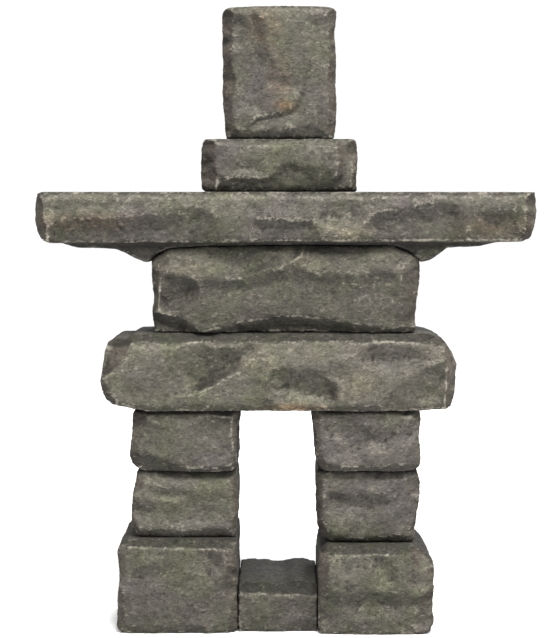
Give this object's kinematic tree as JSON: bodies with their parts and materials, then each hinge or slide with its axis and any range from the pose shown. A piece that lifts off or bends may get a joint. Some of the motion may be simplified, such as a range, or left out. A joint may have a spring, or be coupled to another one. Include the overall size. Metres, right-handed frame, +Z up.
{
  "type": "stone cairn",
  "caption": "Inukshuk-style stone cairn: rough hewn grey-green stones dry-stacked as a standing figure, with legs, hip slab, chest, long arms slab, neck and upright head stone.",
  "frame": {"origin": "On the ground, in the middle of the cairn's bounding box", "axes": "+Z up, +X to the right when the front is seen, front faces -Y"},
  "size_m": [0.4906, 0.1346, 0.613],
  "materials": {
    "foot_stone": "rough split face, dark grime in the joints, pale rubbed edges",
    "sill_stone": "rough split face, darker and greener than the other stones",
    "leg_stone": "rough split face with brown-pink patches and pale rubbed edges",
    "slab_stone": "rough cleft face, grey-olive with pale ridges",
    "chest_stone": "rough split face with deep shadowed scars and pale ridges",
    "head_stone": "rough cleft face, warm grey with a rusty stain on one ledge"
  },
  "bodies": {
    "root": {"left_foot_stone": "foot_stone", "right_foot_stone": "foot_stone", "sill_stone": "sill_stone", "left_shin_stone": "leg_stone", "right_shin_stone": "leg_stone", "left_thigh_stone": "leg_stone", "right_thigh_stone": "leg_stone", "hip_slab": "slab_stone", "chest_stone": "chest_stone", "arms_slab": "slab_stone", "neck_stone": "chest_stone", "head_stone": "head_stone"}
  },
  "joints": []
}
